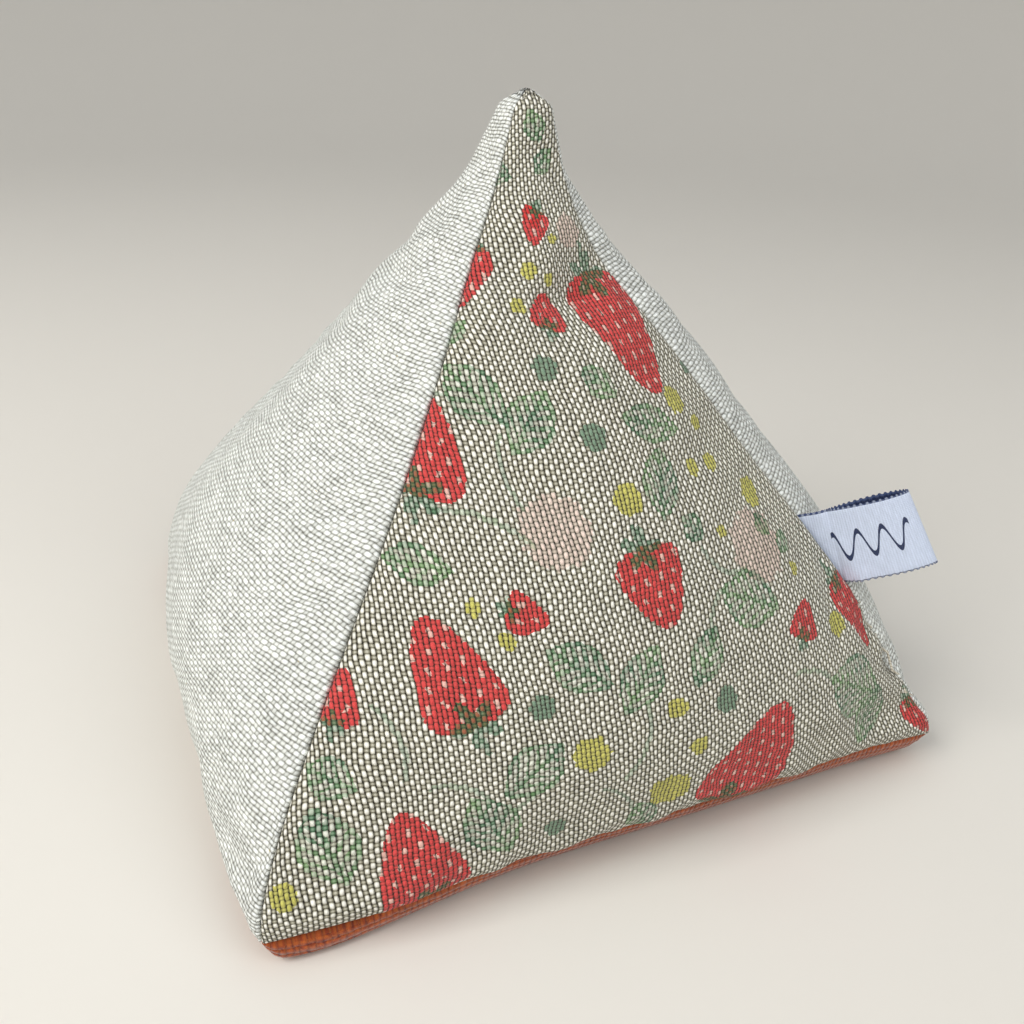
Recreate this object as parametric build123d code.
from build123d import *
import os
from math import cos, hypot, radians, sqrt

# A stuffed pyramid pincushion: four cloth sides, a cloth base, fibre filling, thread and a ribbon label.
#
# The frame is in millimetres, +Z up, with its origin under the tip at the middle of the base, on the surface
# that the cushion stands on. The front panel faces -Y, and the label is sewn into the front right seam.

# ---- Driving dimensions, in millimetres and degrees ----
base_side = 100.0  # the base seam, from corner to corner
tip_height = 90.0  # the tip above the surface that the cushion stands on
seam_height = 4.5  # the base seam above that surface
cloth = 0.8  # thickness of one layer of linen
allowance = 6.0  # width of cloth turned in past each seam
tip_layers = 2  # layers of cloth over the top of the tip
fill_top = 0.80  # share of the way up that the filling reaches; the tip holds only turned-in cloth
play = 0.2  # space left between soft pieces that lie against each other

# How the cushion swells: share of the way up from the base seam to the tip, share of the half side that
# the slanted seam has there, and how far the middle of a panel stands out past the line between its seams.
swelling = [
    (0.00, 1.000, -1.5),
    (0.05, 0.980, 3.0),
    (0.16, 0.890, 7.0),
    (0.30, 0.750, 8.5),
    (0.46, 0.570, 7.5),
    (0.63, 0.380, 5.0),
    (0.77, 0.220, 2.4),
    (0.87, 0.120, 1.0),
    (0.96, 0.065, 0.4),
    (1.00, 0.040, 0.2),
]

# The base panel sags under the seam: (share of the seam height, inset from the seam line, crown).
base_sag = [(1.00, 0.0, -1.5), (0.35, 1.0, -1.5), (0.00, 7.0, -1.0)]

thread = 0.35  # thickness of the sewing thread
stitch = 2.5  # length of a machine stitch
pulled = 0.8  # share of its thickness that the thread keeps where it is pulled through the cloth
bend_swell = 1.1  # how much thicker the thread is at a bend
stitch_inset = 2.4  # the slanted seams' stitch line, behind their edge
base_stitch_inset = 3.2  # the base seam's stitch line, behind its corners

stitches_low, stitches_high = 0.03, 0.90  # first and last stitch of a slanted seam, as shares of the way up
gap_low, gap_high = 0.07, 0.25  # the turning gap, closed by hand, in the front right seam
closing_stitch = 2.0  # length of a hand stitch
closing_reach = 0.9  # how far a hand stitch reaches into each fold

label_width = 12.0  # width of the ribbon
label_length = 14.6  # from the hinge line to the fold
label_up = 0.325  # share of the way up of the label's middle
label_slant = 19.0  # how far the ribbon leans from square to the seam
label_lean = 16.0  # how far it lies from the middle plane, towards the right panel
ribbon = 0.3  # thickness of one layer of ribbon
loop_swell = 0.8  # half the space inside the loop, where it is widest
ridge_to_hinge = 1.3  # the line where the ribbon bends, outside the seam
tuck_play = 0.3  # the sewn ends stop this far short of the edge of the allowances
hinge_gap = 0.35  # left between the sewn ends and the bend

# ---- Worked out from them ----
half_side = base_side / 2
climb = tip_height - seam_height
lean = hypot(half_side, climb) / climb  # a slanting layer is this much wider, measured level
wall = cloth * lean
seam_crown = swelling[0][2]
far = base_side * 2
root_2 = sqrt(2)


def height_at(share):
    """Height of a share of the way up from the base seam to the tip."""
    return seam_height + share * climb


def half_at(share):
    """Half the width between two slanted seams, at a share of the way up."""
    for (low, half_low, _), (high, half_high, _) in zip(swelling, swelling[1:]):
        if share <= high:
            return half_side * (half_low + (half_high - half_low) * (share - low) / (high - low))
    return half_side * swelling[-1][1]


def section(height, half, crown):
    """A level square whose four sides are arcs, standing out by crown in the middle."""
    corners = [(-half, -half), (half, -half), (half, half), (-half, half)]
    middles = [(0, -half - crown), (half + crown, 0), (0, half + crown), (-half - crown, 0)]
    sides = [
        ThreePointArc(corners[i], middles[i], corners[(i + 1) % 4])
        for i in range(4)
    ]
    return Pos(0, 0, height) * make_face(sides)


def swollen(inset, top=1.0, drop=0.0):
    """The cushion's solid above the base seam, drawn in level by inset, up to a share of the way."""
    rows = [row for row in swelling if row[0] < top - 0.02]
    crown_top = next(crown for share, _, crown in swelling if share >= top)
    faces = [section(height_at(share), half_side * part - inset, crown) for share, part, crown in rows]
    faces.append(section(height_at(top) - drop, half_at(top) - inset, crown_top))
    return loft(faces)


def sagged(inset, rise):
    """The solid under the base seam, drawn in by inset and with its underside raised by rise."""
    faces = [
        section(seam_height * share + rise * (1 - share), half_side - draw_in - inset, crown)
        for share, draw_in, crown in base_sag
    ]
    return loft(faces, ruled=True)


def prism(points, low, high):
    """An upright block on a polygon, from one height to another."""
    return Pos(0, 0, low) * extrude(make_face(Polyline(*points, close=True)), high - low)


def wedge(back=0.0):
    """The quarter of space in front of the two diagonal planes, moved forward by back."""
    tip = -back * root_2
    points = [(0, tip), (-far, tip - far), (far, tip - far)]
    return prism(points, seam_height, tip_height + 1)


def level_slab(low, high):
    """A wide block between two heights."""
    return Pos(0, 0, (low + high) / 2) * Box(far, far, high - low)


# ---- Directions along the front right seam, where the label is sewn in ----
def seam_point(share, inset=0.0):
    """A point of the front right seam, or behind it by a level inset on each side."""
    half = half_at(share) - inset
    return Vector(half, -half, height_at(share))


beside_label = 0.05  # the seam's direction is taken this share above and below the label
across = Vector(1, 1, 0).normalized()  # square to the diagonal plane, from the front panel to the right
seam_up = (seam_point(label_up + beside_label) - seam_point(label_up - beside_label)).normalized()
outward = across.cross(seam_up)  # in the diagonal plane, square to the seam, away from the cushion
hinge_point = seam_point(label_up) + outward * ridge_to_hinge
hinge_plane = Plane(origin=hinge_point, x_dir=outward, z_dir=seam_up)
tail_width = label_width / cos(radians(label_slant))


def cloth_body():
    """The closed shell of the four sides, and the space along the seams for their allowances."""
    outer = swollen(0)
    shell = outer - swollen(wall, drop=tip_layers * cloth)
    return shell, outer - swollen(allowance, top=fill_top)


def side_panel(shell, turned_in):
    """The front panel: its crowned face and the allowances turned in along its three sides."""
    legs = wedge() - wedge(back=cloth)
    hem = level_slab(seam_height, seam_height + cloth)
    allowances = turned_in & wedge() & (legs + hem)
    return (shell & wedge()) + allowances


def sewn_ends():
    """The two ends of the ribbon, flat between the allowances of the front and right panels."""
    reach = ridge_to_hinge - ribbon - hinge_gap
    tuck = allowance * root_2 * seam_up.Z - tuck_play  # the allowances' depth, square to the seam
    depth = tuck + reach
    end = Box(depth, ribbon, tail_width)
    seat = hinge_plane * Pos(reach - ridge_to_hinge - depth / 2, 0, 0)
    return [seat * Pos(0, side * ribbon / 2, 0) * end for side in (-1, 1)]


def base_panel():
    """The base: a shallow dish that rests on its flat middle, with its allowance turned in."""
    dish = sagged(0, 0)
    hollow = sagged(wall, cloth)
    hem = dish & level_slab(seam_height - cloth, seam_height)
    return (dish - hollow) + (hem - mouth(allowance))


def mouth(inset):
    """An upright block through the base seam's opening, drawn in by inset."""
    return extrude(section(0, half_side - inset, seam_crown), seam_height * 2)


def filling(turned_in):
    """The fibre filling: it fills the cloth and leaves room for the allowances and the thread."""
    clear = wall + play
    layer = cloth + thread + play
    crossing = Box(far, layer * 2, far)
    legs = (Rot(0, 0, 45) * crossing) + (Rot(0, 0, -45) * crossing)
    hem = level_slab(0, seam_height + layer)
    upper = swollen(clear, drop=tip_layers * cloth + play) & level_slab(0, height_at(fill_top))
    upper -= turned_in & (legs + hem)
    base_hem = level_slab(seam_height - layer, seam_height + layer) - mouth(allowance + play)
    return upper + (sagged(clear, cloth + play) - base_hem)


def rod(start, end, width):
    """A round rod between two points."""
    way = end - start
    return Plane(origin=start, z_dir=way) * Cylinder(
        width / 2, way.length, align=(Align.CENTER, Align.CENTER, Align.MIN)
    )


def lockstitch(knots, holes, side):
    """Machine stitching through two layers: a thread along each face, joined at each needle hole."""
    reach = side * (cloth + thread / 2)
    parts = [rod(hole - reach, hole + reach, thread * pulled) for hole in holes]
    for face in (reach, reach * -1):
        line = [knot + face for knot in knots]
        parts += [rod(near, next_knot, thread) for near, next_knot in zip(line, line[1:])]
        parts += [Pos(*bend) * Sphere(thread / 2 * bend_swell) for bend in line[1:-1]]
    return parts[0].fuse(*parts[1:])


def slanted_stitching(first, last):
    """Stitching of the front right seam between two shares of the way up."""
    bends = [share for share, _, _ in swelling if first < share < last]
    knots = [seam_point(share, stitch_inset) for share in (first, *bends, last)]
    count = round((knots[-1] - knots[0]).length / stitch)
    shares = [first + (last - first) * (i + 0.5) / count for i in range(count)]
    return lockstitch(knots, [seam_point(share, stitch_inset) for share in shares], across)


def base_stitching():
    """One side of the base seam's stitching, through the side panel's allowance and the base's."""
    half = half_side - base_stitch_inset
    end = half - thread  # the next side's row starts just past it
    knots = [Vector(-end, -half, seam_height), Vector(end, -half, seam_height)]
    count = round(end * 2 / stitch)
    steps = [(i + 0.5) / count for i in range(count)]
    holes = [knots[0] + (knots[1] - knots[0]) * step for step in steps]
    return lockstitch(knots, holes, Vector(0, 0, 1))


def hand_closing():
    """The hand stitches that draw the two folds of the turning gap together."""
    count = round((gap_high - gap_low) * climb * lean / closing_stitch)
    shares = [gap_low + (gap_high - gap_low) * i / count for i in range(count + 1)]
    knots = [
        seam_point(share, closing_reach) + across * (closing_reach * (-1) ** i)
        for i, share in enumerate(shares)
    ]
    rods = [rod(near, next_knot, thread) for near, next_knot in zip(knots, knots[1:])]
    balls = [Pos(*knot) * Sphere(thread / 2 * bend_swell) for knot in knots]
    return rods[0].fuse(*rods[1:], *balls)


def label_loop():
    """The free part of the label: a folded ribbon, open a little between its two layers."""
    swell = loop_swell + ribbon
    rise, widest, turn = label_length * 0.3, label_length * 0.62, label_length - swell * 0.55
    upper = [(0, ribbon), (rise, swell * 0.72), (widest, swell), (turn, swell * 0.72), (label_length, 0)]
    edge = Spline(*upper, *[(x, -y) for x, y in upper[-2::-1]])
    outside = make_face([edge, Line((0, -ribbon), (0, ribbon))])
    inner = [
        (ribbon * 5, 0),
        (rise, loop_swell * 0.55),
        (widest, loop_swell),
        (turn - ribbon / 2, loop_swell * 0.72),
        (label_length - ribbon, 0),
    ]
    inside = make_face(Spline(*inner, *[(x, -y) for x, y in inner[-2:0:-1]], periodic=True))
    band = extrude(outside - inside, label_width / 2, both=True)
    outward_half = Pos(far / 2, 0, 0) * Box(far, far, far)
    bend = Cylinder(ribbon, tail_width)
    return hinge_plane * Rot(0, 0, label_lean) * (((Rot(0, label_slant, 0) * band) & outward_half) + bend)


def write(name, *pieces):
    """Writes one node's piece, or its group of separate pieces, to its own file."""
    export_step(pieces[0] if len(pieces) == 1 else Compound(list(pieces)), f"parts/{name}.step")


def main():
    """Makes every piece and writes it."""
    os.makedirs("parts", exist_ok=True)
    shell, turned_in = cloth_body()
    front = side_panel(shell, turned_in)
    ends = sewn_ends()
    for i, name in enumerate(["front", "right", "back", "left"]):
        panel = Rot(0, 0, 90 * i) * front
        if name in ("front", "right"):
            panel -= ends
        write(f"{name}_panel", panel)
    write("base_panel", base_panel())
    write("fibre_filling", filling(turned_in))
    slanted = slanted_stitching(stitches_low, stitches_high)
    for i, name in enumerate(["back_right", "back_left", "front_left"]):
        write(f"seam_thread_{name}", Rot(0, 0, 90 * (i + 1)) * slanted)
    below = slanted_stitching(stitches_low, gap_low)
    above = slanted_stitching(gap_high, stitches_high)
    write("seam_thread_front_right", below, above)
    row = base_stitching()
    write("base_seam_thread", *[Rot(0, 0, 90 * i) * row for i in range(4)])
    write("closing_stitches", hand_closing())
    write("label_sewn_ends", *ends)
    write("label_loop", label_loop())


if __name__ == "__main__":
    main()
